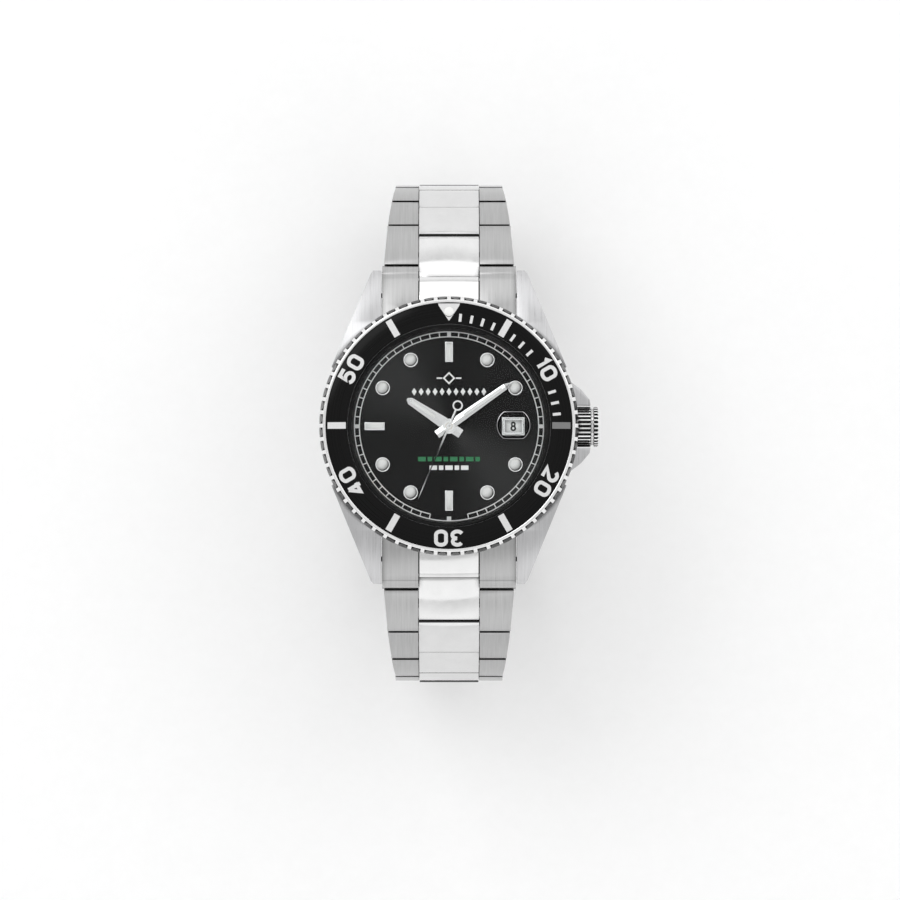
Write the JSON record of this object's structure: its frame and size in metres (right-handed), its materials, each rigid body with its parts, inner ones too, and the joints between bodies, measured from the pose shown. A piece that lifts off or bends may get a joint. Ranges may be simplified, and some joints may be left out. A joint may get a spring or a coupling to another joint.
{
  "type": "dive watch",
  "caption": "Wristwatch with a turning scalloped bezel, dark dial with a date, screw crown and hinged three-piece-link steel bracelet with a folding clasp.",
  "frame": {"origin": "centre of the caseback's outer flat face", "axes": "+Z out through the crystal, +Y towards 12 o'clock, +X towards the crown"},
  "size_m": [0.0454, 0.0826, 0.0538],
  "materials": {
    "brushed_case": "brushed, with polished edges",
    "polished_steel": "polished",
    "brushed_bracelet": "satin brushed along the bracelet",
    "black_insert": "black anodised with silver markings",
    "black_dial": "black sunray lacquer",
    "dark_ring": "satin black",
    "lume": "luminous paint",
    "sapphire": "clear",
    "gasket_black": "matt",
    "gilt_brass": "gilt",
    "movement_steel": "grained nickel",
    "date_white": "white lacquer"
  },
  "bodies": {
    "watch_head": {"case_middle": "brushed_case", "caseback": "brushed_case", "gaskets": "gasket_black", "crystal": "sapphire", "date_magnifier": "sapphire", "rehaut_ring": "dark_ring", "dial": "black_dial", "hour_marker_frames": "polished_steel", "hour_marker_lume": "lume", "mainplate": "gilt_brass", "train_bridge": "movement_steel", "crown_tube": "polished_steel", "spring_bars": "polished_steel", "end_link_12": "brushed_bracelet", "end_link_6": "brushed_bracelet", "bezel_click_spring": "gilt_brass"},
    "bezel": {"bezel_ring": "polished_steel", "bezel_insert": "black_insert"},
    "hour_hand_set": {"hour_hand": "polished_steel", "hour_wheel": "gilt_brass"},
    "minute_hand_set": {"minute_hand": "polished_steel", "centre_wheel": "gilt_brass"},
    "second_hand_set": {"second_hand": "polished_steel", "fourth_wheel": "gilt_brass"},
    "third_wheel_set": {"third_wheel": "gilt_brass"},
    "escape_wheel_set": {"escape_wheel": "movement_steel"},
    "pallets": {"pallet_fork": "movement_steel"},
    "balance": {"balance_wheel": "gilt_brass"},
    "mainspring_barrel": {"barrel": "gilt_brass"},
    "winding_rotor": {"rotor": "movement_steel"},
    "date_ring": {"date_disc": "date_white"},
    "winding_pinion": {"sliding_pinion": "gilt_brass"},
    "crown_and_stem": {"crown": "polished_steel", "winding_stem": "polished_steel"},
    "row_12_1": {"link_12_1_centre": "polished_steel", "link_12_1_sides": "brushed_bracelet"},
    "row_12_2": {"link_12_2_centre": "polished_steel", "link_12_2_sides": "brushed_bracelet"},
    "row_12_3": {"link_12_3_centre": "polished_steel", "link_12_3_sides": "brushed_bracelet"},
    "row_12_4": {"link_12_4_centre": "polished_steel", "link_12_4_sides": "brushed_bracelet"},
    "row_12_5": {"link_12_5_centre": "polished_steel", "link_12_5_sides": "brushed_bracelet"},
    "row_12_6": {"link_12_6": "brushed_bracelet"},
    "row_6_1": {"link_6_1_centre": "polished_steel", "link_6_1_sides": "brushed_bracelet"},
    "row_6_2": {"link_6_2_centre": "polished_steel", "link_6_2_sides": "brushed_bracelet"},
    "row_6_3": {"link_6_3_centre": "polished_steel", "link_6_3_sides": "brushed_bracelet"},
    "row_6_4": {"link_6_4_centre": "polished_steel", "link_6_4_sides": "brushed_bracelet"},
    "row_6_5": {"link_6_5_centre": "polished_steel", "link_6_5_sides": "brushed_bracelet"},
    "row_6_6": {"link_6_6": "brushed_bracelet"},
    "clasp_inner": {"clasp_end_blade": "polished_steel"},
    "clasp_middle": {"clasp_middle_blade": "polished_steel"},
    "clasp_outer": {"clasp_cover": "brushed_bracelet"},
    "clasp_lock": {"clasp_safety_catch": "brushed_bracelet"}
  },
  "joints": [
    {"name": "bezel_turn", "type": "hinge", "parent": "watch_head", "child": "bezel", "pos_m": [0, 0, 0.0096], "axis": [0, 0, 1], "continuous": true},
    {"name": "minute_turn", "type": "hinge", "parent": "watch_head", "child": "minute_hand_set", "pos_m": [0, 0, 0.0086], "axis": [0, 0, -1], "continuous": true},
    {"name": "hour_turn", "type": "hinge", "parent": "watch_head", "child": "hour_hand_set", "pos_m": [0, 0, 0.0082], "axis": [0, 0, -1], "continuous": true},
    {"name": "second_turn", "type": "hinge", "parent": "watch_head", "child": "second_hand_set", "pos_m": [0, 0, 0.0089], "axis": [0, 0, -1], "continuous": true},
    {"name": "third_wheel_turn", "type": "hinge", "parent": "watch_head", "child": "third_wheel_set", "pos_m": [0.0018, 0.00312, 0.004], "axis": [0, 0, -1], "continuous": true},
    {"name": "escape_wheel_turn", "type": "hinge", "parent": "watch_head", "child": "escape_wheel_set", "pos_m": [0.00063, -0.00358, 0.004], "axis": [0, 0, -1], "continuous": true},
    {"name": "barrel_turn", "type": "hinge", "parent": "watch_head", "child": "mainspring_barrel", "pos_m": [-0.00536, 0.00195, 0.0046], "axis": [0, 0, -1], "continuous": true},
    {"name": "pallet_rock", "type": "hinge", "parent": "watch_head", "child": "pallets", "pos_m": [0.00095, -0.0062, 0.0043], "axis": [0, 0, -1], "range_deg": [-5, 5]},
    {"name": "balance_swing", "type": "hinge", "parent": "watch_head", "child": "balance", "pos_m": [0.0013, -0.0096, 0.0036], "axis": [0, 0, -1], "range_deg": [-150, 150]},
    {"name": "rotor_turn", "type": "hinge", "parent": "watch_head", "child": "winding_rotor", "pos_m": [0, 0, 0.0018], "axis": [0, 0, -1], "continuous": true},
    {"name": "date_ring_turn", "type": "hinge", "parent": "watch_head", "child": "date_ring", "pos_m": [0, 0, 0.0066], "axis": [0, 0, -1], "continuous": true},
    {"name": "crown_turn", "type": "hinge", "parent": "watch_head", "child": "winding_pinion", "pos_m": [0.01, 0, 0.0049], "axis": [1, 0, 0], "continuous": true},
    {"name": "crown_pull", "type": "slide", "parent": "winding_pinion", "child": "crown_and_stem", "axis": [1, 0, 0], "range_m": [0, 0.0016]},
    {"name": "row_12_1_hinge", "type": "hinge", "parent": "watch_head", "child": "row_12_1", "pos_m": [0, 0.0248, 0.0032], "axis": [1, 0, 0], "range_deg": [0, 32]},
    {"name": "row_12_2_hinge", "type": "hinge", "parent": "row_12_1", "child": "row_12_2", "pos_m": [0, 0.03158, -0.00104], "axis": [1, 0, 0], "range_deg": [0, 24]},
    {"name": "row_12_3_hinge", "type": "hinge", "parent": "row_12_2", "child": "row_12_3", "pos_m": [0, 0.03606, -0.00767], "axis": [1, 0, 0], "range_deg": [0, 12]},
    {"name": "row_12_4_hinge", "type": "hinge", "parent": "row_12_3", "child": "row_12_4", "pos_m": [0, 0.03905, -0.01509], "axis": [1, 0, 0], "range_deg": [0, 16]},
    {"name": "row_12_5_hinge", "type": "hinge", "parent": "row_12_4", "child": "row_12_5", "pos_m": [0, 0.03989, -0.02304], "axis": [1, 0, 0], "range_deg": [0, 41]},
    {"name": "row_12_6_hinge", "type": "hinge", "parent": "row_12_5", "child": "row_12_6", "pos_m": [0, 0.0353, -0.0296], "axis": [1, 0, 0], "range_deg": [0, 30]},
    {"name": "row_6_1_hinge", "type": "hinge", "parent": "watch_head", "child": "row_6_1", "pos_m": [0, -0.0248, 0.0032], "axis": [-1, 0, 0], "range_deg": [0, 32]},
    {"name": "row_6_2_hinge", "type": "hinge", "parent": "row_6_1", "child": "row_6_2", "pos_m": [0, -0.03158, -0.00104], "axis": [-1, 0, 0], "range_deg": [0, 24]},
    {"name": "row_6_3_hinge", "type": "hinge", "parent": "row_6_2", "child": "row_6_3", "pos_m": [0, -0.03606, -0.00767], "axis": [-1, 0, 0], "range_deg": [0, 12]},
    {"name": "row_6_4_hinge", "type": "hinge", "parent": "row_6_3", "child": "row_6_4", "pos_m": [0, -0.03905, -0.01509], "axis": [-1, 0, 0], "range_deg": [0, 16]},
    {"name": "row_6_5_hinge", "type": "hinge", "parent": "row_6_4", "child": "row_6_5", "pos_m": [0, -0.03989, -0.02304], "axis": [-1, 0, 0], "range_deg": [0, 41]},
    {"name": "row_6_6_hinge", "type": "hinge", "parent": "row_6_5", "child": "row_6_6", "pos_m": [0, -0.0353, -0.0296], "axis": [-1, 0, 0], "range_deg": [0, 30]},
    {"name": "clasp_link_hinge", "type": "hinge", "parent": "row_12_6", "child": "clasp_inner", "pos_m": [0, 0.02805, -0.03298], "axis": [1, 0, 0], "range_deg": [0, 20]},
    {"name": "clasp_inner_fold", "type": "hinge", "parent": "clasp_inner", "child": "clasp_middle", "pos_m": [0, -0.01765, -0.03617], "axis": [-1, 0, 0], "range_deg": [0, 150]},
    {"name": "clasp_outer_fold", "type": "hinge", "parent": "clasp_middle", "child": "clasp_outer", "pos_m": [0, 0.02345, -0.03586], "axis": [1, 0, 0], "range_deg": [0, 150]},
    {"name": "safety_catch_flip", "type": "hinge", "parent": "clasp_outer", "child": "clasp_lock", "pos_m": [0, -0.01715, -0.03996], "axis": [1, 0, 0], "range_deg": [0, 110]}
  ],
  "couplings": [
    {"joint": "minute_turn", "follows": "second_turn", "ratio": 0.016667},
    {"joint": "hour_turn", "follows": "second_turn", "ratio": 0.0013889},
    {"joint": "third_wheel_turn", "follows": "second_turn", "ratio": -0.13333},
    {"joint": "escape_wheel_turn", "follows": "second_turn", "ratio": -10},
    {"joint": "barrel_turn", "follows": "second_turn", "ratio": -0.0023333},
    {"joint": "clasp_inner_fold", "follows": "clasp_outer_fold", "ratio": 1}
  ]
}
